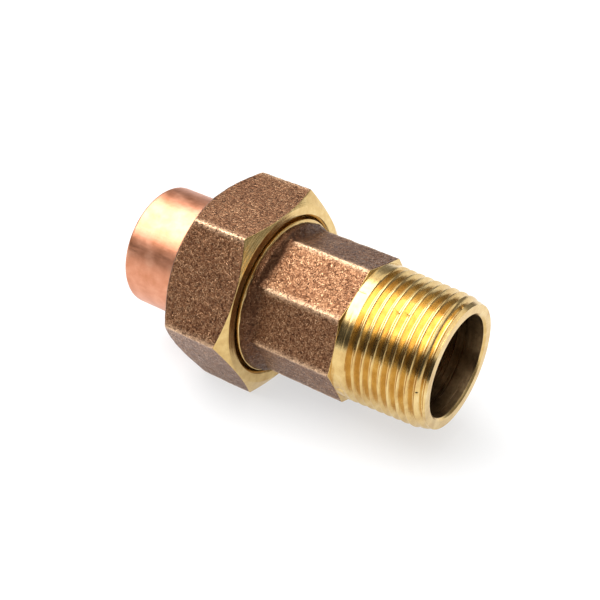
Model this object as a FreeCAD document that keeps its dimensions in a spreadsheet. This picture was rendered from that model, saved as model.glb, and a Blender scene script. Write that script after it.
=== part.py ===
# Pipe union, copper solder cup to male pipe thread, built as three loose pieces:
# a cast male end with an octagonal body, a cast hexagonal union nut, and a wrought
# copper tailpiece. The metal-to-metal ground joint has no gasket.
#
# Frame, in millimetres: X runs along the union, towards the male pipe thread. Z is up.
# Two flats of the nut are level, one on top and one underneath. Most lengths below are
# "behind the face", measured backwards from the flat face of the male end.
import FreeCAD, Part
import math
import os
import Sketcher

os.makedirs("parts", exist_ok=True)
doc = FreeCAD.newDocument("pipe_union")

SIZES = {
    # whole union
    "face_position": 34.75,         # X of the face of the male end, half the overall length
    "overall_length": 69.5,
    # male pipe thread, 3/4-14 NPT, tapering one in sixteen on the diameter
    "pipe_pitch": 1.8143,
    "pipe_taper": 1.7899,           # degrees, half of the cone
    "pipe_crest_at_face": 13.006,   # radius the crests would have at the face
    "pipe_crest_end": 16.93,        # behind the face, where the crests reach the land's radius
    "pipe_crest_at_land": 13.535,
    "pipe_depth": 1.20,
    "pipe_root_half": 0.10,         # half width of the groove at its root
    "pipe_outer_half": 0.82,        # half width of the cutter above the crests
    "pipe_cutter_margin": 0.06,     # how far the cutter reaches above the crests
    "cutter_margin": 0.12,          # the same for the two union threads
    "pipe_cutter_start": 0.45,      # ahead of the face
    "pipe_cutter_travel": 16.30,
    "face_outer": 12.20,
    "face_bevel_length": 2.90,
    "face_bevel_crest": 13.09,
    "water_bore": 10.10,
    "bore_edge": 0.41,
    # octagonal body
    "land_end": 18.75,              # behind the face
    "octagon_half": 13.56,          # half of the distance across flats
    "octagon_tilt": 4.65,           # turn of the octagon about the axis, degrees
    "octagon_bevel_end": 19.00,
    "octagon_bevel_radius": 14.85,
    "octagon_rear": 37.10,
    "octagon_edge": 0.70,           # rounding of the cast edges
    # round collar and union thread of the male end
    "collar_root": 35.50,
    "collar_root_radius": 13.10,
    "collar_front": 37.20,
    "collar_radius": 15.30,
    "collar_rear": 38.18,
    "rim_front": 38.40,
    "union_major": 15.75,           # crest radius of the union thread
    "union_pitch": 1.8143,          # fourteen threads to the inch
    "union_depth": 1.113,
    "union_root_half": 0.151,
    "union_outer_half": 0.863,
    "union_cutter_start": 50.90,
    "union_cutter_travel": 10.75,
    "rim_rear": 47.80,
    "seat_end": 48.90,
    "seat_outer": 14.55,
    "seat_mouth": 13.30,
    "seat_bottom": 45.284,
    # union nut
    "nut_front": 38.60,
    "nut_rear": 55.10,
    "hexagon_half": 18.50,          # half of the distance across flats
    "hexagon_edge": 0.55,
    "nut_front_circle": 18.40,
    "nut_front_bevel_end": 40.32,
    "nut_bevel_radius": 21.80,
    "nut_rear_bevel_start": 51.35,
    "nut_rear_circle": 16.50,
    "mouth_edge": 16.70,
    "mouth_edge_end": 39.05,
    "mouth_radius": 16.25,
    "mouth_end": 40.70,
    "nut_minor": 14.80,             # crest radius of the internal thread
    "nut_lead_in": 41.80,
    "nut_major": 15.90,             # root radius of the internal thread
    "nut_root_half": 0.127,
    "nut_inner_half": 0.832,
    "nut_cutter_start": 39.10705,   # six and a half pitches from the other cutter's start
    "nut_cutter_travel": 10.40,
    "relief_front": 49.30,
    "relief_radius": 16.15,
    "relief_rear": 50.35,
    "lip_outer": 14.92,
    "lip_cone_end": 52.22,
    "lip_bore": 13.05,
    "lip_edge": 0.40,
    # copper tailpiece
    "ball_centre": 57.35,           # centre of the 15.52 mm radius ball seat
    "ball_tip": 10.40,
    "ball_tip_station": 45.830,
    "ball_root": 13.60,
    "ball_root_station": 49.873,
    "flange_radius": 14.50,
    "flange_edge": 0.25,
    "shoulder_start": 50.70,
    "shoulder_end": 52.60,
    "cup_outer": 12.62,
    "cup_bore": 11.165,             # takes 22.23 mm copper tube
    "cup_depth": 19.05,
    "cup_edge": 0.45,
    "tail_water_bore": 9.76,
    "tail_bore_edge": 0.30,
}

LEAST_THREAD_CUT = 100.0            # cubic millimetres, less than any of the threads removes

sheet = doc.addObject("Spreadsheet::Sheet", "Dimensions")
for row, (word, number) in enumerate(SIZES.items(), start=1):
    sheet.set("A%d" % row, word)
    sheet.set("B%d" % row, str(number))
    sheet.setAlias("B%d" % row, word)
doc.recompute()


def amount(words):
    """Value of a sum of named sizes, and the same sum written for the sheet."""
    value, sign, written = 0.0, 1.0, []
    for word in words.split():
        if word in ("+", "-"):
            sign = 1.0 if word == "+" else -1.0
            written.append(word)
        else:
            value += sign * SIZES[word]
            written.append("Dimensions." + word)
    return value, " ".join(written)


def origin_item(body, role):
    """Plane or axis of the body's own origin."""
    for item in body.Origin.OriginFeatures:
        if item.Role == role:
            return item
    raise RuntimeError("no " + role)


def new_body(name):
    body = doc.addObject("PartDesign::Body", name)
    body.Label = name
    return body


def section_sketch(body, name, corners, ball=None):
    """Closed half section in the XZ plane, X along the union and Z the radius.

    Every corner is a pair of sums of named sizes. The side that starts at corner
    number `ball` is an arc of a circle centred on the axis."""
    sketch = body.newObject("Sketcher::SketchObject", name)
    sketch.AttachmentSupport = (origin_item(body, "XZ_Plane"), [""])
    sketch.MapMode = "FlatFace"
    places = [(amount(along), amount(out)) for along, out in corners]
    points = [FreeCAD.Vector(along[0], out[0], 0) for along, out in places]
    count = len(points)
    for side in range(count):
        start, end = points[side], points[(side + 1) % count]
        if side == ball:
            centre_x = amount("face_position - ball_centre")[0]
            centre = FreeCAD.Vector(centre_x, 0, 0)
            radius = (start - centre).Length
            circle = Part.Circle(centre, FreeCAD.Vector(0, 0, 1), radius)
            first = math.atan2(start.y, start.x - centre_x)
            last = math.atan2(end.y, end.x - centre_x)
            sketch.addGeometry(Part.ArcOfCircle(circle, min(first, last), max(first, last)))
        else:
            sketch.addGeometry(Part.LineSegment(start, end))
    # An arc is always stored anticlockwise, so its two ends may be swapped.
    swapped = ball is not None and points[ball].y > points[ball + 1].y
    for side in range(count):
        after = (side + 1) % count
        leaving = 1 if side == ball and swapped else 2
        arriving = 2 if after == ball and swapped else 1
        sketch.addConstraint(Sketcher.Constraint("Coincident", side, leaving, after, arriving))
    for side, (along, out) in enumerate(places):
        end = 2 if side == ball and swapped else 1
        number = sketch.addConstraint(
            Sketcher.Constraint("DistanceX", -1, 1, side, end, along[0]))
        sketch.setExpression("Constraints[%d]" % number, along[1])
        number = sketch.addConstraint(
            Sketcher.Constraint("DistanceY", -1, 1, side, end, out[0]))
        sketch.setExpression("Constraints[%d]" % number, out[1])
    if ball is not None:
        sketch.addConstraint(Sketcher.Constraint("PointOnObject", ball, 3, -1))
    return sketch


def turned(body, kind, name, corners, ball=None):
    """Revolution or Groove of a half section about the X axis."""
    sketch = section_sketch(body, name + "_section", corners, ball)
    feature = body.newObject("PartDesign::" + kind, name)
    feature.Profile = sketch
    feature.ReferenceAxis = (origin_item(body, "X_Axis"), [""])
    feature.Angle = 360
    doc.recompute()
    return feature


def prism(body, name, sides, half_width, first_corner, front, rear, hole):
    """Regular prism along X, sized across its flats, with a round hole through it."""
    sketch = body.newObject("Sketcher::SketchObject", name + "_outline")
    sketch.AttachmentSupport = (origin_item(body, "YZ_Plane"), [""])
    sketch.MapMode = "FlatFace"
    sketch.setExpression("AttachmentOffset.Base.z", "Dimensions.face_position - Dimensions." + rear)
    reach = SIZES[half_width] / math.cos(math.pi / sides)
    corners = []
    for corner in range(sides):
        angle = math.radians(first_corner) + 2 * math.pi * corner / sides
        corners.append(FreeCAD.Vector(reach * math.cos(angle), reach * math.sin(angle), 0))
    for side in range(sides):
        sketch.addGeometry(Part.LineSegment(corners[side], corners[(side + 1) % sides]))
    for side in range(sides):
        sketch.addConstraint(Sketcher.Constraint("Coincident", side, 2, (side + 1) % sides, 1))
    outer = sketch.addGeometry(
        Part.Circle(FreeCAD.Vector(0, 0, 0), FreeCAD.Vector(0, 0, 1), reach), True)
    sketch.addConstraint(Sketcher.Constraint("Coincident", outer, 3, -1, 1))
    for side in range(sides):
        sketch.addConstraint(Sketcher.Constraint("PointOnObject", side, 1, outer))
    for side in range(sides - 1):
        sketch.addConstraint(Sketcher.Constraint("Equal", side, side + 1))
    number = sketch.addConstraint(Sketcher.Constraint("Radius", outer, reach))
    sketch.setExpression(
        "Constraints[%d]" % number,
        "Dimensions.%s / cos(180 deg / %d)" % (half_width, sides))
    if abs(corners[0].y) < 1e-9:
        sketch.addConstraint(Sketcher.Constraint("PointOnObject", 0, 1, -1))
    else:
        spoke = sketch.addGeometry(
            Part.LineSegment(FreeCAD.Vector(0, 0, 0), corners[0]), True)
        sketch.addConstraint(Sketcher.Constraint("Coincident", spoke, 1, -1, 1))
        sketch.addConstraint(Sketcher.Constraint("Coincident", spoke, 2, 0, 1))
        number = sketch.addConstraint(
            Sketcher.Constraint("Angle", -1, 1, spoke, 1, math.radians(first_corner)))
        sketch.setExpression("Constraints[%d]" % number, "Dimensions.octagon_tilt * 1 deg")
    inner = sketch.addGeometry(
        Part.Circle(FreeCAD.Vector(0, 0, 0), FreeCAD.Vector(0, 0, 1), SIZES[hole]))
    sketch.addConstraint(Sketcher.Constraint("Coincident", inner, 3, -1, 1))
    number = sketch.addConstraint(Sketcher.Constraint("Radius", inner, SIZES[hole]))
    sketch.setExpression("Constraints[%d]" % number, "Dimensions." + hole)
    pad = body.newObject("PartDesign::Pad", name)
    pad.Profile = sketch
    pad.setExpression("Length", "Dimensions.%s - Dimensions.%s" % (rear, front))
    doc.recompute()
    return pad


def soften_long_edges(body, name, source, size):
    """Round the edges of a prism that run along X."""
    names = []
    for number, edge in enumerate(source.Shape.Edges, start=1):
        run = edge.Vertexes[-1].Point - edge.Vertexes[0].Point
        if abs(run.x) > 1.0 and abs(run.y) + abs(run.z) < 1e-6:
            names.append("Edge%d" % number)
    rounding = body.newObject("PartDesign::Fillet", name)
    rounding.Base = (source, names)
    rounding.setExpression("Radius", "Dimensions." + size)
    doc.recompute()
    return rounding


def thread_cut(body, name, corners, pitch, travel, backwards, taper=None):
    """Right-hand helical groove of the given half section.

    A helical cut can fail without an error and leave the solid whole, so the volume that
    it removes is compared."""
    uncut = body.Tip.Shape.Volume
    sketch = section_sketch(body, name + "_section", corners)
    cut = body.newObject("PartDesign::SubtractiveHelix", name)
    cut.Profile = sketch
    cut.ReferenceAxis = (origin_item(body, "X_Axis"), [""])
    cut.Mode = "pitch-height-angle"
    cut.HasBeenEdited = True
    cut.LeftHanded = False
    cut.Reversed = backwards
    cut.setExpression("Pitch", "Dimensions." + pitch)
    cut.setExpression("Height", "Dimensions." + travel)
    if taper:
        cut.setExpression("Angle", "Dimensions." + taper)
    doc.recompute()
    if cut.Shape.Volume > uncut - LEAST_THREAD_CUT:
        raise RuntimeError(name + " has cut too little")
    return cut


def behind(station):
    """X of a station given as a distance behind the face of the male end."""
    swapped = {"+": "-", "-": "+"}
    return "face_position - " + " ".join(swapped.get(word, word) for word in station.split())


# ---- male end: octagonal casting, pipe thread, union thread and conical seat ----
male_end = new_body("male_end")
octagon = prism(male_end, "octagon", 8, "octagon_half", SIZES["octagon_tilt"],
                "land_end", "octagon_rear", "water_bore")
octagon = soften_long_edges(male_end, "octagon_edges", octagon, "octagon_edge")
turned(male_end, "Groove", "octagon_bevel", [
    (behind("land_end - bore_edge"), "pipe_crest_at_land"),
    (behind("land_end"), "pipe_crest_at_land"),
    (behind("octagon_bevel_end"), "octagon_bevel_radius"),
    (behind("land_end - bore_edge"), "octagon_bevel_radius"),
])
turned(male_end, "Revolution", "turned_body", [
    ("face_position", "water_bore + bore_edge"),
    ("face_position", "face_outer"),
    (behind("face_bevel_length"), "face_bevel_crest"),
    (behind("pipe_crest_end"), "pipe_crest_at_land"),
    (behind("land_end"), "pipe_crest_at_land"),
    (behind("octagon_bevel_end"), "collar_root_radius"),
    (behind("collar_root"), "collar_root_radius"),
    (behind("collar_front"), "collar_radius"),
    (behind("collar_rear"), "collar_radius"),
    (behind("rim_front"), "union_major"),
    (behind("rim_rear"), "union_major"),
    (behind("seat_end"), "seat_outer"),
    (behind("seat_end"), "seat_mouth"),
    (behind("seat_bottom"), "water_bore"),
    (behind("bore_edge"), "water_bore"),
])
thread_cut(male_end, "union_thread", [
    (behind("union_cutter_start + union_root_half"), "union_major - union_depth"),
    (behind("union_cutter_start - union_root_half"), "union_major - union_depth"),
    (behind("union_cutter_start - union_outer_half"), "union_major + cutter_margin"),
    (behind("union_cutter_start + union_outer_half"), "union_major + cutter_margin"),
], "union_pitch", "union_cutter_travel", False)
thread_cut(male_end, "pipe_thread", [
    ("face_position + pipe_cutter_start - pipe_root_half", "pipe_crest_at_face - pipe_depth"),
    ("face_position + pipe_cutter_start + pipe_root_half", "pipe_crest_at_face - pipe_depth"),
    ("face_position + pipe_cutter_start + pipe_outer_half", "pipe_crest_at_face + pipe_cutter_margin"),
    ("face_position + pipe_cutter_start - pipe_outer_half", "pipe_crest_at_face + pipe_cutter_margin"),
], "pipe_pitch", "pipe_cutter_travel", True, "pipe_taper")

# ---- union nut: hexagonal casting, internal thread and rear lip ----
union_nut = new_body("union_nut")
hexagon = prism(union_nut, "hexagon", 6, "hexagon_half", 0.0,
                "nut_front", "nut_rear", "lip_bore")
hexagon = soften_long_edges(union_nut, "hexagon_edges", hexagon, "hexagon_edge")
turned(union_nut, "Groove", "front_bevel", [
    (behind("nut_front"), "nut_front_circle"),
    (behind("nut_front_bevel_end"), "nut_bevel_radius"),
    (behind("nut_front - bore_edge"), "nut_bevel_radius"),
    (behind("nut_front - bore_edge"), "nut_front_circle"),
])
turned(union_nut, "Groove", "rear_bevel", [
    (behind("nut_rear"), "nut_rear_circle"),
    (behind("nut_rear_bevel_start"), "nut_bevel_radius"),
    (behind("nut_rear + bore_edge"), "nut_bevel_radius"),
    (behind("nut_rear + bore_edge"), "nut_rear_circle"),
])
turned(union_nut, "Groove", "nut_bore", [
    (behind("nut_front - bore_edge"), "lip_bore - bore_edge"),
    (behind("nut_front - bore_edge"), "mouth_edge + bore_edge"),
    (behind("mouth_edge_end"), "mouth_radius"),
    (behind("mouth_end"), "mouth_radius"),
    (behind("nut_lead_in"), "nut_minor"),
    (behind("relief_front"), "nut_minor"),
    (behind("relief_front"), "relief_radius"),
    (behind("relief_rear"), "relief_radius"),
    (behind("relief_rear"), "lip_outer"),
    (behind("lip_cone_end"), "lip_bore"),
    (behind("lip_cone_end"), "lip_bore - bore_edge"),
])
turned(union_nut, "Groove", "lip_bevel", [
    (behind("nut_rear - lip_edge"), "lip_bore"),
    (behind("nut_rear"), "lip_bore + lip_edge"),
    (behind("nut_rear + bore_edge"), "lip_bore + lip_edge"),
    (behind("nut_rear + bore_edge"), "lip_bore - bore_edge"),
    (behind("nut_rear - lip_edge"), "lip_bore - bore_edge"),
])
thread_cut(union_nut, "nut_thread", [
    (behind("nut_cutter_start + nut_root_half"), "nut_major"),
    (behind("nut_cutter_start - nut_root_half"), "nut_major"),
    (behind("nut_cutter_start - nut_inner_half"), "nut_minor - cutter_margin"),
    (behind("nut_cutter_start + nut_inner_half"), "nut_minor - cutter_margin"),
], "union_pitch", "nut_cutter_travel", True)

# ---- copper tailpiece: solder cup, shoulder for the nut, ball seat ----
copper_tailpiece = new_body("copper_tailpiece")
turned(copper_tailpiece, "Revolution", "tailpiece", [
    (behind("ball_tip_station"), "ball_tip"),
    (behind("ball_root_station"), "ball_root"),
    (behind("ball_root_station"), "flange_radius - flange_edge"),
    (behind("ball_root_station + flange_edge"), "flange_radius"),
    (behind("shoulder_start"), "flange_radius"),
    (behind("shoulder_end"), "cup_outer"),
    (behind("overall_length - cup_edge"), "cup_outer"),
    (behind("overall_length"), "cup_outer - cup_edge"),
    (behind("overall_length"), "cup_bore + tail_bore_edge"),
    (behind("overall_length - tail_bore_edge"), "cup_bore"),
    (behind("overall_length - cup_depth"), "cup_bore"),
    (behind("overall_length - cup_depth"), "tail_water_bore"),
    (behind("ball_tip_station + tail_bore_edge"), "tail_water_bore"),
    (behind("ball_tip_station"), "tail_water_bore + tail_bore_edge"),
], ball=0)

doc.recompute()
for item in doc.Objects:
    if "Invalid" in item.State or "Error" in item.State:
        raise RuntimeError(item.Label + " could not be built: " + ", ".join(item.State))
for body in (male_end, union_nut, copper_tailpiece):
    shape = body.Shape
    if shape.isNull() or not shape.isValid() or len(shape.Solids) != 1:
        raise RuntimeError(body.Label + " is not one valid solid")
    shape.exportStep("parts/" + body.Label + ".step")
    box = shape.BoundBox
    print("%-18s %8.1f mm3   X %7.2f to %6.2f   Y %6.2f   Z %6.2f" % (
        body.Label, shape.Volume, box.XMin, box.XMax, box.YLength, box.ZLength))
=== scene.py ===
"""Looks of a copper to male thread pipe union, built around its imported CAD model.

Sizes are in millimetres until a mesh is stored. A station is a distance behind the flat face
of the male end, and angles are about the union's axis (X), from +Y towards +Z."""
import math

import bpy
import numpy as np
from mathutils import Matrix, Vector, noise


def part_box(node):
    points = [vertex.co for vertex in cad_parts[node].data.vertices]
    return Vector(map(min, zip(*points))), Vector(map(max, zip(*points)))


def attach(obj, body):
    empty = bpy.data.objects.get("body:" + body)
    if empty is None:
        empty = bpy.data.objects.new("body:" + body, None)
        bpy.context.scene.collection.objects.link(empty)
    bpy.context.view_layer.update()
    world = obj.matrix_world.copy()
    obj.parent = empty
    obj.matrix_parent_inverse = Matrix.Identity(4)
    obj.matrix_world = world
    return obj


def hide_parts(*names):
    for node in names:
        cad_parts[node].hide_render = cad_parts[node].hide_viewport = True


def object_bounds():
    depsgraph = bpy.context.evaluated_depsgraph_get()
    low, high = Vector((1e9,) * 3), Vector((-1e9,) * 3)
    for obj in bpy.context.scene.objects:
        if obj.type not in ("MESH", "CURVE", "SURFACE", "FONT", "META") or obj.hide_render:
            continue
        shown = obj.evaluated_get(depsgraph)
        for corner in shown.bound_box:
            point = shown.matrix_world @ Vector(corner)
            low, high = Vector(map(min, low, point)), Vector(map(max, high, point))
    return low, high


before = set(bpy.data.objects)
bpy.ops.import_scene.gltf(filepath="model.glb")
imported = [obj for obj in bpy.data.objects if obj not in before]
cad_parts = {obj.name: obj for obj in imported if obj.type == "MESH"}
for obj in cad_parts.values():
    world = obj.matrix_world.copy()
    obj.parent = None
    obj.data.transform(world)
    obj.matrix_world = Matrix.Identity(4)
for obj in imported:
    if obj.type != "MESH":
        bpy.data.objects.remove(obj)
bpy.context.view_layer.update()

MM = 0.001
FACE_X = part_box("male_end")[1].x / MM           # X of station 0
TOTAL = (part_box("male_end")[1].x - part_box("copper_tailpiece")[0].x) / MM

CAST, TURNED, COPPER, DULL = range(4)            # finishes, in the order of a piece's slots

PITCH = 1.8143                                   # both threads have 14 to the inch
FLANK = 1 / math.tan(math.radians(30))           # rise of a 60 degree thread's flank
PIPE_CREST_AT_FACE = 13.006
PIPE_TAPER = 1 / 32                              # growth of the radius along the thread
PIPE_DEPTH = 1.20
PIPE_ROOT_HALF = 0.10
PIPE_START = -0.45                               # station of the groove at the top of the face
UNION_MAJOR = 15.75
UNION_DEPTH = 1.113
UNION_ROOT_HALF = 0.151
UNION_START = 50.90
NUT_MAJOR = 15.90
NUT_MINOR = 14.80
NUT_ROOT_HALF = 0.127
NUT_START = UNION_START - 6.5 * PITCH
BORE = 10.10
LAND = 13.535                                    # radius of the plain band behind the thread

WORN_WIDTH = 0.55                                # of a cast piece's long edges
WORN_FROM, WORN_TO = 1.4, 0.3                    # wear starts and is full this far under a corner
SCAR_FROM = 11.5                                 # scars are only cut outside this radius
SHARP_FROM = math.radians(38)                    # least bend that is shaded as an edge

WALL, CEILING = 0.25, 1.20                       # brightness of the world's walls and ceiling
NEAR_SIDE_DIMMED = 0.21                          # how much darker the walls behind the camera are
FLOOR_HALF = 30.0                                # metres, so that the edge isn't seen
FLOOR_GREY = 0.32
FLOOR_GLOW = 0.62


# ---------------------------------------------------------------- mesh building

def smooth_step(low, high, x):
    share = np.clip((x - low) / (high - low), 0, 1)
    return share * share * (3 - 2 * share)


def soft_min(a, b, width):
    """The smaller of two values, rounded over where they meet."""
    near = np.clip(0.5 + 0.5 * (b - a) / width, 0, 1)
    return b + (a - b) * near - width * near * (1 - near)


def polygon_angles(sides, first, evenly, close):
    """Angles round a prism: an even spread over each flat, closer together at the corners."""
    step = 2 * math.pi / sides
    share = np.linspace(0, 1, evenly + 1)
    inner = close + (step - 2 * close) * share
    corner = np.linspace(-close, close, 9)[1:-1]
    turn = np.concatenate([corner, inner])
    return np.sort(np.concatenate([first + step * k + turn for k in range(sides)]) % (2 * math.pi))


def prism_radius(angles, sides, first, half, edge):
    """Radius of a regular prism at each angle, with its long edges rounded."""
    step = 2 * math.pi / sides
    from_flat = np.abs(np.abs((angles - first) % step - step / 2))
    flat = half / np.cos(from_flat)
    centre = (half - edge) / math.cos(step / 2)
    from_corner = step / 2 - from_flat
    under = np.maximum(edge ** 2 - (centre * np.sin(from_corner)) ** 2, 0)
    rounded = centre * np.cos(from_corner) + np.sqrt(under)
    touch = math.atan2((half - edge) * math.tan(step / 2), half)
    return np.where(from_flat > touch, rounded, flat)


class Skin:
    """A mesh made of rings of points round the X axis, joined by strips of faces."""

    def __init__(self, angles):
        self.angles = np.asarray(angles, float)
        self.stations, self.radii, self.cast = [], [], []
        self.faces, self.finishes = [], []
        self.count = 0

    def ring(self, station, radius, cast=0.0, which=None):
        """Adds points at the given angles (all of them, or `which`) and returns their numbers."""
        size = len(self.angles) if which is None else len(which)
        self.stations.append((np.zeros(size) + station, which))
        self.radii.append(np.zeros(size) + radius)
        self.cast.append(np.zeros(size) + cast)
        self.count += size
        return np.arange(self.count - size, self.count)

    def strip(self, first, second, finish):
        """Joins two rings."""
        after_first, after_second = np.roll(first, -1), np.roll(second, -1)
        self.faces.append(np.stack([first, after_first, after_second, second], 1))
        self.finishes.append(np.full(len(first), finish))

    def screw(self, first, second, start, low, high, offsets, radius, finish):
        """Joins two rings at stations low and high by rows that follow a right-hand thread.

        start is the station of a groove at the top of the union, offsets are the rows'
        places in one pitch, and radius gives the surface from a station and the distance
        to the nearest groove."""
        rows_per_turn, size = len(offsets), len(self.angles)
        base = start + PITCH / 4
        first_turn = math.floor((low - base) / PITCH) - 1
        last_turn = math.ceil((high - base) / PITCH) + 2
        at_zero = np.concatenate([
            base + PITCH * turn + np.asarray(offsets) for turn in range(first_turn, last_turn)])
        lead = PITCH * self.angles / (2 * math.pi)
        station = at_zero[:, None] - lead[None, :]
        margin = 0.03
        numbers = np.full(station.shape, -1)
        numbers[station <= low + margin] = -2
        numbers[station >= high - margin] = -3
        rows, columns = np.nonzero(numbers == -1)
        places = station[rows, columns]
        groove = (places + lead[columns] - base) / PITCH
        away = np.abs(groove - np.round(groove)) * PITCH
        numbers[rows, columns] = self.ring(places, radius(places, away), which=columns)
        ends = np.broadcast_to(np.arange(size), numbers.shape)
        numbers = np.where(numbers == -2, first[ends], numbers)
        numbers = np.where(numbers == -3, second[ends], numbers)
        after = np.roll(numbers, -1, axis=1)
        wrapped = np.empty(len(at_zero), int)
        wrapped[rows_per_turn:] = numbers[:-rows_per_turn, 0]
        wrapped[:rows_per_turn] = first[0]
        after[:, -1] = wrapped
        quads = np.stack([numbers[:-1], after[:-1], after[1:], numbers[1:]], -1).reshape(-1, 4)
        self.faces.append(quads)
        self.finishes.append(np.full(len(quads), finish))

    def build(self, name, materials, scars=(), corners=None, crevice=None):
        """The finished object, with its cast faces roughened.

        corners is the angle of the first long edge, how many there are and their radius,
        for their wear.
        crevice is a pair of stations between which the casting grows rougher and its colour is
        painted darker, as painted shade in the crevice."""
        angles = np.concatenate([
            self.angles if which is None else self.angles[which] for _, which in self.stations])
        stations = np.concatenate([s for s, _ in self.stations])
        radii = np.concatenate(self.radii)
        cast = np.concatenate(self.cast)
        for scar in scars:
            radii = radii - scar_depth(stations, angles, radii, *scar)
        points = np.stack([
            FACE_X - stations, radii * np.cos(angles), radii * np.sin(angles)], 1)
        quads = np.concatenate(self.faces)
        finishes = np.concatenate(self.finishes)
        polygons, kept = [], []
        for quad, finish in zip(quads.tolist(), finishes.tolist()):
            around = [c for k, c in enumerate(quad) if c != quad[k - 1]]
            if len(set(around)) >= 3:
                polygons.append(around)
                kept.append(finish)
        mesh = bpy.data.meshes.new(name)
        mesh.from_pydata((points * MM).tolist(), [], polygons)
        for material in materials:
            mesh.materials.append(material)
        mesh.polygons.foreach_set("material_index", kept)
        mesh.polygons.foreach_set("use_smooth", [True] * len(polygons))
        mesh.update()
        if mesh.polygons[-1].normal.x < 0:
            mesh.flip_normals()
        worn, crevice_shade_and_relief = np.zeros(len(cast)), np.zeros(len(cast))
        if corners:
            step = 2 * math.pi / corners[1]
            apart = np.abs((angles - corners[0] + step / 2) % step - step / 2) * radii
            worn = np.exp(-(apart / WORN_WIDTH) ** 2) * cast
            worn = worn * smooth_step(corners[2] - WORN_FROM, corners[2] - WORN_TO, radii)
        # painted shade: the crevice mask darkens the colour in front of the collar, and it also
        # raises the cast relief there
        if crevice:
            crevice_shade_and_relief = smooth_step(*crevice, stations) * cast
            worn = worn * (1 - crevice_shade_and_relief)
        for word, values in (("worn", worn), ("crevice_shade_and_relief", crevice_shade_and_relief)):
            mesh.attributes.new(word, "FLOAT", "POINT").data.foreach_set("value", values)
        roughen(mesh, cast * (1 + crevice_shade_and_relief))
        mesh.set_sharp_from_angle(angle=SHARP_FROM)
        thing = bpy.data.objects.new(name, mesh)
        bpy.context.scene.collection.objects.link(thing)
        return thing


def scar_depth(stations, angles, radii, degrees, width, low, high, depth):
    """Depth of a nick, or with a minus sign the height of a lump, on the outside.

    It lies at an angle in degrees, is `width` wide round the union, and runs from one
    station to another."""
    across = (angles - math.radians(degrees) + math.pi) % (2 * math.pi) - math.pi
    over = np.exp(-(across * radii / width) ** 2)
    along = np.clip(1 - ((stations - (low + high) / 2) / ((high - low) / 2)) ** 2, 0, 1)
    return np.where(radii > SCAR_FROM, depth * over * np.sqrt(along), 0)


def trace(skin, ring, path, closing=None):
    """Runs strips along a path of corners and returns the last ring.

    Each corner is (station, radius, rounding, rows, finish): the rows and the finish are those
    of the stretch that leads to it. The first corner is the place of the given ring."""
    places = [(np.zeros(len(skin.angles)) + c[0], np.zeros(len(skin.angles)) + c[1]) for c in path]
    stretches = []
    leave = places[0]
    for number in range(1, len(path)):
        here = places[number]
        rounding, rows, finish = path[number][2:5]
        if number + 1 < len(path) and rounding:
            before, after = towards(here, places[number - 1]), towards(here, places[number + 1])
            bend = np.clip(before[0] * after[0] + before[1] * after[1], -0.9999, 0.9999)
            reach = rounding / np.tan(np.arccos(bend) / 2)
            reach = np.minimum(reach, 0.45 * np.minimum(before[2], after[2]))
            enter = (here[0] + before[0] * reach, here[1] + before[1] * reach)
            next_leave = (here[0] + after[0] * reach, here[1] + after[1] * reach)
            stretches.append((straight(leave, enter, rows), finish))
            arc_rows = max(2, int(round(rounding / 0.15)))
            stretches.append((curve(enter, here, next_leave, arc_rows), finish))
            leave = next_leave
        else:
            stretches.append((straight(leave, here, rows), finish))
            leave = here
    total = sum(len(points) for points, _ in stretches)
    done = 0
    for points, finish in stretches:
        for place in points:
            done += 1
            if done == total and closing is not None:
                new = closing
            else:
                new = skin.ring(place[0], place[1], cast=1.0 if finish == CAST else 0.0)
            skin.strip(ring, new, finish)
            ring = new
    return ring


def towards(here, there):
    along, out = there[0] - here[0], there[1] - here[1]
    length = np.maximum(np.hypot(along, out), 1e-9)
    return along / length, out / length, length


def straight(a, b, rows):
    return [(a[0] + (b[0] - a[0]) * k / rows, a[1] + (b[1] - a[1]) * k / rows)
            for k in range(1, rows + 1)]


def curve(a, b, c, rows):
    """Points of the curve from a to c that is drawn towards b."""
    points = []
    for k in range(1, rows + 1):
        t = k / rows
        points.append(tuple(
            (1 - t) ** 2 * a[i] + 2 * t * (1 - t) * b[i] + t * t * c[i] for i in (0, 1)))
    return points


CAST_RELIEF = ((0.50, 0.045), (1.05, 0.050), (3.4, 0.055))      # grain size and height


def roughen(mesh, cast):
    """Pushes the cast faces in and out by the relief that a sand mould leaves."""
    size = len(mesh.vertices)
    places = np.zeros(size * 3)
    mesh.vertices.foreach_get("co", places)
    normals = np.zeros(size * 3)
    mesh.vertices.foreach_get("normal", normals)
    places, normals = places.reshape(-1, 3), normals.reshape(-1, 3)
    # only where every neighbouring face is cast too
    inside = cast.copy()
    polygons = mesh.polygons
    loose = np.zeros(len(polygons), int)
    polygons.foreach_get("material_index", loose)
    for polygon, finish in zip(polygons, loose.tolist()):
        if finish != CAST:
            inside[list(polygon.vertices)] = 0.0
    for number in np.nonzero(inside > 0)[0]:
        place = Vector(places[number] / MM)
        push = sum(height * noise.noise(place / grain) for grain, height in CAST_RELIEF)
        places[number] += normals[number] * (push * inside[number] * MM)
    mesh.vertices.foreach_set("co", places.ravel())
    mesh.update()


# ---------------------------------------------------------------- the three pieces

def pipe_surface(station, away):
    """Radius of the male pipe thread, from the bevel at the face to the plain land."""
    crest = np.minimum(PIPE_CREST_AT_FACE + PIPE_TAPER * station, LAND)
    depth = PIPE_DEPTH * (1 - smooth_step(16.0, 17.3, station))
    groove = crest - depth + np.maximum(away - PIPE_ROOT_HALF, 0) * FLANK
    thread = soft_min(crest, groove, 0.06)
    return soft_min(thread, 12.20 + (13.09 - 12.20) / 2.90 * station, 0.03)


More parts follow.
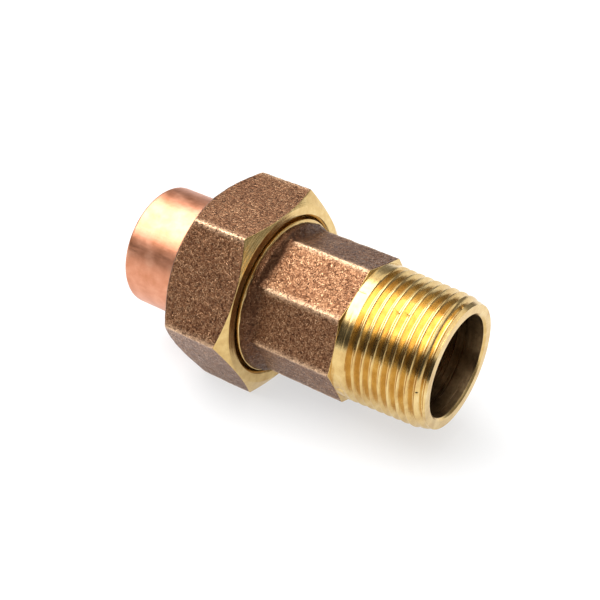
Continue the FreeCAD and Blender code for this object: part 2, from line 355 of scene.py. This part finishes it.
def union_surface(station, away):
    """Radius of the male end's union thread, with its lead-in bevel at the rear."""
    depth = UNION_DEPTH * smooth_step(39.4, 40.6, station)
    groove = UNION_MAJOR - depth + np.maximum(away - UNION_ROOT_HALF, 0) * FLANK
    thread = soft_min(UNION_MAJOR + 0 * station, groove, 0.06)
    return soft_min(thread, 14.55 + (48.90 - station) * (15.75 - 14.55) / 1.10, 0.06)


def nut_surface(station, away):
    """Radius of the nut's internal thread, with its lead-in bevel at the mouth."""
    groove = NUT_MAJOR - np.maximum(away - NUT_ROOT_HALF, 0) * FLANK
    thread = -soft_min(-groove, 0 * station - NUT_MINOR, 0.06)
    lead_in = 16.25 - (station - 40.70) * (16.25 - 14.80) / 1.10
    return -soft_min(-thread, -lead_in, 0.04)


PITCH_ROWS = tuple(PITCH * share for share in (
    0, 0.04, 0.075, 0.18, 0.30, 0.41, 0.45, 0.5, 0.55, 0.59, 0.70, 0.82, 0.925, 0.96))
FEW_PITCH_ROWS = tuple(PITCH * share for share in (
    0, 0.07, 0.25, 0.43, 0.5, 0.57, 0.75, 0.93))


# nicks in the thread and the land
PIPE_SCARS = (
    # degrees, width, from station, to station, depth
    (112.0, 0.16, 16.9, 18.9, 0.10),
    (113.2, 0.14, 7.5, 9.3, 0.12),
    (114.8, 0.14, 9.4, 11.2, 0.12),
    (203.0, 0.35, 16.9, 18.2, 0.30),
    (80.0, 0.25, 1.2, 1.9, 0.15),
    (170.0, 0.22, 1.4, 2.0, 0.15),
)
# a lump and a pit left on the casting by the mould
CAST_LUMPS = ((117.0, 0.45, 27.6, 28.6, -0.22), (121.0, 0.30, 24.3, 24.9, 0.16))


def make_male_end(materials):
    """Octagonal casting with the tapered pipe thread, the union thread and the conical seat."""
    tilt = math.radians(4.65)
    near_scars = [math.radians(scar[0] + step) for scar in PIPE_SCARS
                  for step in (-1.1, -0.7, -0.35, 0.0, 0.35, 0.7, 1.1)]
    angles = np.sort(np.concatenate([
        polygon_angles(8, tilt, 24, math.radians(2.2)), near_scars]))
    octagon = prism_radius(angles, 8, tilt, 13.56, 0.70)
    skin = Skin(angles)
    face_edge = skin.ring(0.0, 12.20)
    land = skin.ring(17.60, LAND)
    skin.screw(face_edge, land, PIPE_START, 0.0, 17.60, PITCH_ROWS, pipe_surface, TURNED)

    bevel_slope = (19.00 - 18.75) / (14.85 - LAND)
    cone_slope = (37.20 - 35.50) / (15.30 - 13.10)
    # the casting is a little off the centre that its rim was turned about
    collar = (15.38 + 0.20 * np.cos(angles - math.radians(225))
              + 0.035 * np.sin(9 * angles + 1.0) + 0.025 * np.sin(23 * angles))
    rim = trace(skin, land, [
        (17.60, LAND),
        (18.75, LAND, 0.05, 4, TURNED),
        (18.75 + (octagon - LAND) * bevel_slope, octagon, 0.05, 4, TURNED),
        (35.50 + (octagon - 13.10) * cone_slope, octagon, 1.30, 58, CAST),
        (37.20, 15.30, 0.50, 7, CAST),
        (38.40 - (15.75 - collar) * 0.4, collar, 0.05, 5, CAST),
        (38.40, 15.75, 0.04, 2, TURNED),
        (39.30, 15.75, 0.00, 3, TURNED),
    ])
    seat_rim = skin.ring(48.90, 14.55)
    skin.screw(rim, seat_rim, UNION_START, 39.30, 48.90, FEW_PITCH_ROWS, union_surface, TURNED)
    trace(skin, seat_rim, [
        (48.90, 14.55),
        (48.90, 13.30, 0.10, 3, TURNED),
        (45.284, BORE, 0.30, 8, TURNED),
        (0.41, BORE, 0.05, 14, DULL),
        (0.00, BORE + 0.41, 0.04, 3, TURNED),
        (0.00, 12.20, 0.00, 3, TURNED),
    ], closing=face_edge)
    return skin.build("male_end", materials, PIPE_SCARS + CAST_LUMPS,
                      corners=(tilt, 8, octagon.max()), crevice=(34.6, 36.2))


def make_union_nut(materials):
    """Hexagonal casting with a machined front, an internal thread and a rear lip."""
    angles = polygon_angles(6, 0.0, 52, math.radians(1.6))
    hexagon = prism_radius(angles, 6, 0.0, 18.50, 0.55)
    skin = Skin(angles)
    front_slope = (40.32 - 38.60) / (21.80 - 18.40)
    rear_slope = (55.10 - 51.35) / (21.80 - 16.50)
    start = skin.ring(40.70, 16.25)
    back = trace(skin, start, [
        (40.70, 16.25),
        (39.05, 16.25, 0.06, 3, TURNED),
        (38.60, 16.70, 0.06, 2, TURNED),
        (38.60, 18.40, 0.05, 5, TURNED),
        (38.60 + (hexagon - 18.40) * front_slope, hexagon, 0.06, 8, TURNED),
        (55.10 - (hexagon - 16.50) * rear_slope, hexagon, 0.70, 52, CAST),
        (55.10, 16.50, 1.20, 14, CAST),
        (55.10, 13.45, 0.12, 10, CAST),
        (54.70, 13.05, 0.12, 2, TURNED),
        (52.22, 13.05, 0.12, 5, TURNED),
        (50.35, 14.92, 0.10, 5, TURNED),
        (50.35, 16.15, 0.10, 2, TURNED),
        (49.30, 16.15, 0.10, 3, TURNED),
        (49.30, 15.90, 0.00, 1, TURNED),
    ])
    skin.screw(start, back, NUT_START, 40.70, 49.30, FEW_PITCH_ROWS, nut_surface, TURNED)
    return skin.build("union_nut", materials, corners=(0.0, 6, hexagon.max()))


def make_tailpiece(materials):
    """Wrought copper tailpiece: ball seat, shoulder and solder cup."""
    angles = np.linspace(0, 2 * math.pi, 256, endpoint=False)
    skin = Skin(angles)
    ball_centre, ball_radius = 57.35, 15.52
    tip = skin.ring(45.83, 10.40)
    ring = tip
    for station in np.linspace(45.83, 49.873, 16)[1:]:
        ball = skin.ring(station, math.sqrt(ball_radius ** 2 - (ball_centre - station) ** 2))
        skin.strip(ring, ball, COPPER)
        ring = ball
    trace(skin, ring, [
        (49.873, 13.60),
        (49.873, 14.25, 0.00, 2, COPPER),
        (50.123, 14.50, 0.00, 1, COPPER),
        (50.70, 14.50, 0.10, 2, COPPER),
        (52.60, 12.62, 0.60, 4, COPPER),
        (TOTAL, 12.62, 0.55, 70, COPPER),
        (TOTAL, 11.165, 0.35, 4, COPPER),
        (TOTAL - 19.05, 11.165, 0.40, 40, COPPER),
        (TOTAL - 19.05, 9.76, 0.20, 4, COPPER),
        (46.13, 9.76, 0.05, 6, COPPER),
        (45.83, 10.06, 0.05, 2, COPPER),
        (45.83, 10.40, 0.00, 2, COPPER),
    ], closing=tip)
    return skin.build("copper_tailpiece", materials)


# ---------------------------------------------------------------- materials

class Nodes:
    """Short way to add and join the nodes of one material."""

    def __init__(self, name):
        self.material = bpy.data.materials.new(name)
        self.material.use_nodes = True
        self.tree = self.material.node_tree
        self.shader = self.tree.nodes["Principled BSDF"]
        place = self.tree.nodes.new("ShaderNodeTexCoord")
        scale = self.tree.nodes.new("ShaderNodeVectorMath")
        scale.operation = "SCALE"
        scale.inputs["Scale"].default_value = 1 / MM
        self.tree.links.new(place.outputs["Object"], scale.inputs[0])
        self.place = scale.outputs[0]

    def link(self, out, into):
        self.tree.links.new(out, into)

    def math(self, operation, a, b=0.0, clamp=False):
        node = self.tree.nodes.new("ShaderNodeMath")
        node.operation = operation
        node.use_clamp = clamp
        for value, socket in zip((a, b), node.inputs):
            if isinstance(value, (int, float)):
                socket.default_value = value
            else:
                self.link(value, socket)
        return node.outputs[0]

    def noise(self, scale, detail=3.0, rough=0.6, place=None, distortion=0.0):
        node = self.tree.nodes.new("ShaderNodeTexNoise")
        node.inputs["Scale"].default_value = scale
        node.inputs["Detail"].default_value = detail
        node.inputs["Roughness"].default_value = rough
        node.inputs["Distortion"].default_value = distortion
        self.link(place or self.place, node.inputs["Vector"])
        return node.outputs["Fac"]

    def mark(self, word):
        """A value stored at the mesh's points."""
        node = self.tree.nodes.new("ShaderNodeAttribute")
        node.attribute_name = word
        return node.outputs["Fac"]

    def ramp(self, value, *stops):
        node = self.tree.nodes.new("ShaderNodeValToRGB")
        elements = node.color_ramp.elements
        while len(elements) < len(stops):
            elements.new(0.5)
        for element, (position, colour) in zip(elements, stops):
            element.position = position
            element.color = (*colour, 1) if len(colour) == 3 else colour
        self.link(value, node.inputs["Fac"])
        return node.outputs["Color"]

    def spread(self, value, low, high, to_low, to_high):
        node = self.tree.nodes.new("ShaderNodeMapRange")
        for socket, number in zip(node.inputs[1:5], (low, high, to_low, to_high)):
            socket.default_value = number
        self.link(value, node.inputs[0])
        return node.outputs[0]

    def mix(self, share, a, b, kind="MIX"):
        node = self.tree.nodes.new("ShaderNodeMix")
        node.data_type = "RGBA"
        node.blend_type = kind
        for value, socket in ((share, node.inputs[0]), (a, node.inputs[6]), (b, node.inputs[7])):
            if isinstance(value, (int, float)):
                socket.default_value = value
            elif isinstance(value, tuple):
                socket.default_value = (*value, 1)
            else:
                self.link(value, socket)
        return node.outputs[2]

    def bump(self, height, distance, strength=1.0, under=None):
        node = self.tree.nodes.new("ShaderNodeBump")
        node.inputs["Strength"].default_value = strength
        node.inputs["Distance"].default_value = distance * MM
        self.link(height, node.inputs["Height"])
        if under is not None:
            self.link(under, node.inputs["Normal"])
        return node.outputs["Normal"]

    def turned_place(self, along, out):
        """Coordinates that hardly change round the axis, for marks left by a lathe tool."""
        split = self.tree.nodes.new("ShaderNodeSeparateXYZ")
        self.link(self.place, split.inputs[0])
        x, y, z = split.outputs
        radius = self.math("SQRT", self.math("ADD", self.math("MULTIPLY", y, y),
                                             self.math("MULTIPLY", z, z)))
        join = self.tree.nodes.new("ShaderNodeCombineXYZ")
        self.link(self.math("MULTIPLY", x, along), join.inputs[0])
        self.link(self.math("MULTIPLY", radius, out), join.inputs[1])
        self.link(self.math("MULTIPLY", y, 0.04), join.inputs[2])
        return join.outputs[0]

    def finish(self, metallic, **sockets):
        self.shader.inputs["Metallic"].default_value = metallic
        for name, value in sockets.items():
            socket = self.shader.inputs[name.replace("_", " ")]
            if isinstance(value, (int, float)):
                socket.default_value = value
            else:
                self.link(value, socket)
        return self.material


def cast_bronze():
    """Sand cast bronze: brown, grainy, paler on worn grains and edges, with painted shade in the
    crevice.
    """
    n = Nodes("cast_bronze")
    grain = n.noise(1.9, 3.0, 0.65, distortion=0.8)
    fine = n.noise(5.5, 2.0, 0.5)
    specks = n.noise(2.6, 2.0, 0.5, distortion=1.6)
    patches = n.noise(0.16, 3.0, 0.6)
    height = n.math("ADD", grain, n.math("MULTIPLY", fine, 0.22))
    height = n.math("ADD", height, n.math("MULTIPLY", specks, 0.9))
    tone = n.ramp(grain, (0.32, (0.055, 0.020, 0.009)), (0.46, (0.175, 0.076, 0.036)),
                  (0.58, (0.265, 0.128, 0.064)), (0.72, (0.44, 0.245, 0.135)))
    grains = n.ramp(specks, (0.56, (0, 0, 0)), (0.66, (1, 1, 1)))
    tone = n.mix(grains, tone, (0.55, 0.34, 0.195))
    edge = n.math("MULTIPLY", n.mark("worn"), n.spread(grain, 0.36, 0.52, 0.15, 0.95))
    tone = n.mix(edge, tone, (0.78, 0.53, 0.34))
    pits = n.ramp(specks, (0.32, (0.30, 0.25, 0.22)), (0.43, (1, 1, 1)))
    tone = n.mix(1.0, tone, pits, "MULTIPLY")
    tint = n.ramp(patches, (0.35, (0.84, 0.78, 0.75)), (0.65, (1.0, 0.98, 0.95)))
    colour = n.mix(1.0, tone, tint, "MULTIPLY")
    # painted shade: darker colour in the crevice in front of the collar
    colour = n.mix(n.math("MULTIPLY", n.mark("crevice_shade_and_relief"), 0.6), colour, (0.055, 0.022, 0.011))
    rough = n.spread(specks, 0.40, 0.66, 0.46, 0.22)
    return n.finish(0.95, Base_Color=colour, Roughness=rough,
                    Normal=n.bump(height, 0.12, 1.0))


def turned_bronze():
    """Bronze cut on a lathe: bright yellow metal with fine rings."""
    n = Nodes("turned_bronze")
    marks = n.noise(1.0, 2.0, 0.7, n.turned_place(9.0, 9.0))
    bands = n.noise(1.0, 2.0, 0.5, n.turned_place(1.3, 1.3))
    stains = n.noise(0.35, 4.0, 0.6)
    colour = n.ramp(stains, (0.30, (0.57, 0.365, 0.135)), (0.55, (0.70, 0.495, 0.205)),
                    (0.75, (0.78, 0.60, 0.30)))
    rough = n.spread(n.math("ADD", marks, n.math("MULTIPLY", stains, 0.4)), 0.4, 1.0, 0.14, 0.28)
    fine = n.bump(marks, 0.018, 0.9)
    return n.finish(1.0, Base_Color=colour, Roughness=rough,
                    Normal=n.bump(bands, 0.07, 0.7, fine))


def dull_bore():
    """The waterway: bored but darkened."""
    n = Nodes("dull_bore")
    marks = n.noise(1.0, 3.0, 0.7, n.turned_place(5.0, 5.0))
    stains = n.noise(0.5, 4.0, 0.65)
    colour = n.ramp(stains, (0.3, (0.20, 0.128, 0.062)), (0.7, (0.40, 0.27, 0.14)))
    rough = n.spread(marks, 0.3, 0.7, 0.22, 0.42)
    return n.finish(1.0, Base_Color=colour, Roughness=rough, Normal=n.bump(marks, 0.06, 0.9))


def wrought_copper():
    """Drawn copper: satin, pink, faintly mottled and marked along its length."""
    n = Nodes("wrought_copper")
    mottle = n.noise(0.32, 4.0, 0.6)
    split = n.tree.nodes.new("ShaderNodeVectorMath")
    split.operation = "MULTIPLY"
    split.inputs[1].default_value = (0.35, 3.2, 3.2)
    n.link(n.place, split.inputs[0])
    drawn = n.noise(1.0, 3.0, 0.6, split.outputs[0])
    colour = n.ramp(mottle, (0.28, (0.55, 0.210, 0.105)), (0.52, (0.67, 0.290, 0.170)),
                    (0.78, (0.78, 0.400, 0.255)))
    rough = n.spread(n.math("ADD", drawn, mottle), 0.7, 1.3, 0.31, 0.45)
    return n.finish(1.0, Base_Color=colour, Roughness=rough, Normal=n.bump(drawn, 0.016, 0.6))


def pale_paper(name, colour, rough):
    """The floor: matt and pale, a little bright by itself so that shadows stay faint."""
    n = Nodes(name)
    n.shader.inputs["Emission Color"].default_value = (1, 1, 1, 1)
    n.shader.inputs["Emission Strength"].default_value = FLOOR_GLOW
    grain = n.noise(0.02, 3.0, 0.5)
    tone = n.ramp(grain, (0.3, tuple(c * 0.985 for c in colour)), (0.7, colour))
    return n.finish(0.0, Base_Color=tone, Roughness=rough)


materials = [cast_bronze(), turned_bronze(), wrought_copper(), dull_bore()]
male_end = make_male_end(materials)
union_nut = make_union_nut(materials)
tailpiece = make_tailpiece(materials)
for piece, body, node, slot in (
        (male_end, "male_end", "male_end", "cast_bronze"),
        (union_nut, "nut", "union_nut", "cast_bronze"),
        (tailpiece, "tailpiece", "copper_tailpiece", "copper")):
    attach(piece, body)
    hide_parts(node)


# ---------------------------------------------------------------- floor, light and camera

def make_floor():
    """A wide floor that the lowest grains of the casting rest on."""
    size = FLOOR_HALF
    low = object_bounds()[0][2]
    mesh = bpy.data.meshes.new("floor")
    corners = [(-size, -size, low), (size, -size, low), (size, size, low), (-size, size, low)]
    mesh.from_pydata(corners, [], [(0, 1, 2, 3)])
    mesh.materials.append(pale_paper("floor_paper", (FLOOR_GREY,) * 3, 0.9))
    floor = bpy.data.objects.new("floor", mesh)
    bpy.context.scene.collection.objects.link(floor)


def aim(thing, place, at):
    """Puts a light or camera at a place, level, looking at a point."""
    thing.location = place
    thing.rotation_euler = (Vector(at) - Vector(place)).to_track_quat("-Z", "Y").to_euler()


def direction(azimuth, elevation):
    """Unit vector; the azimuth is measured from +X towards +Y."""
    a, e = math.radians(azimuth), math.radians(elevation)
    return Vector((math.cos(a) * math.cos(e), math.sin(a) * math.cos(e), math.sin(e)))


def soft_box(name, azimuth, elevation, distance, wide, tall, power):
    lamp = bpy.data.lights.new(name, "AREA")
    lamp.shape = "RECTANGLE"
    lamp.size, lamp.size_y = wide, tall
    lamp.energy = power
    thing = bpy.data.objects.new(name, lamp)
    bpy.context.scene.collection.objects.link(thing)
    aim(thing, direction(azimuth, elevation) * distance, (0, 0, 0))


def make_world():
    """A white ceiling, with dim walls under it that are darkest behind the camera."""
    world = bpy.data.worlds.new("studio")
    bpy.context.scene.world = world
    world.use_nodes = True
    tree = world.node_tree
    place = tree.nodes.new("ShaderNodeTexCoord").outputs["Generated"]

    def maths(operation, a, b):
        node = tree.nodes.new("ShaderNodeMath")
        node.operation = operation
        for value, socket in zip((a, b), node.inputs):
            if isinstance(value, float):
                socket.default_value = value
            else:
                tree.links.new(value, socket)
        return node.outputs[0]

    def lobe(towards, low, high):
        dot = tree.nodes.new("ShaderNodeVectorMath")
        dot.operation = "DOT_PRODUCT"
        dot.inputs[1].default_value = towards
        tree.links.new(place, dot.inputs[0])
        node = tree.nodes.new("ShaderNodeMapRange")
        node.interpolation_type = "SMOOTHSTEP"
        for socket, number in zip(node.inputs[1:5], (low, high, 0.0, 1.0)):
            socket.default_value = number
        tree.links.new(dot.outputs["Value"], node.inputs[0])
        return node.outputs[0]

    height = tree.nodes.new("ShaderNodeSeparateXYZ")
    tree.links.new(place, height.inputs[0])
    near_side = lobe(direction(-78, 0), 0.48, 0.70)
    above = maths("ADD", height.outputs[2], maths("MULTIPLY", near_side, -0.10))
    ceiling = tree.nodes.new("ShaderNodeMapRange")
    ceiling.interpolation_type = "SMOOTHSTEP"
    for socket, number in zip(ceiling.inputs[1:5], (0.50, 0.60, 0.0, 1.0)):
        socket.default_value = number
    tree.links.new(above, ceiling.inputs[0])
    low = maths("SUBTRACT", WALL, maths("MULTIPLY", near_side, NEAR_SIDE_DIMMED))
    strength = maths("ADD", low, maths("MULTIPLY", ceiling.outputs[0],
                                       maths("SUBTRACT", CEILING, low)))
    tree.links.new(strength, tree.nodes["Background"].inputs["Strength"])
    tree.nodes["Background"].inputs["Color"].default_value = (1, 1, 1, 1)


def make_camera():
    """The photograph's camera: level, and aimed so that the union sits where it does there."""
    lens = bpy.data.cameras.new("camera")
    camera = bpy.data.objects.new("camera", lens)
    bpy.context.scene.collection.objects.link(camera)
    bpy.context.scene.camera = camera
    lens.sensor_width = 36.0
    lens.lens = 71.27
    lens.clip_start = 0.005
    azimuth, elevation = math.radians(34.90), math.radians(36.75)
    forward = Vector((-math.sin(azimuth) * math.cos(elevation),
                      math.cos(azimuth) * math.cos(elevation), -math.sin(elevation)))
    last_crest = Vector((FACE_X - 2.865, 0, 0))
    right = Vector((math.cos(azimuth), math.sin(azimuth), 0))
    down = forward.cross(right)
    offset = right * 26.537 + down * 11.279 + forward * 217.3
    place = (last_crest - offset) * MM
    aim(camera, place, place + forward)


make_floor()
soft_box("key", 191, 62, 0.9, 1.1, 1.1, 15.0)
make_world()
make_camera()
bpy.context.scene.view_settings.view_transform = "Standard"
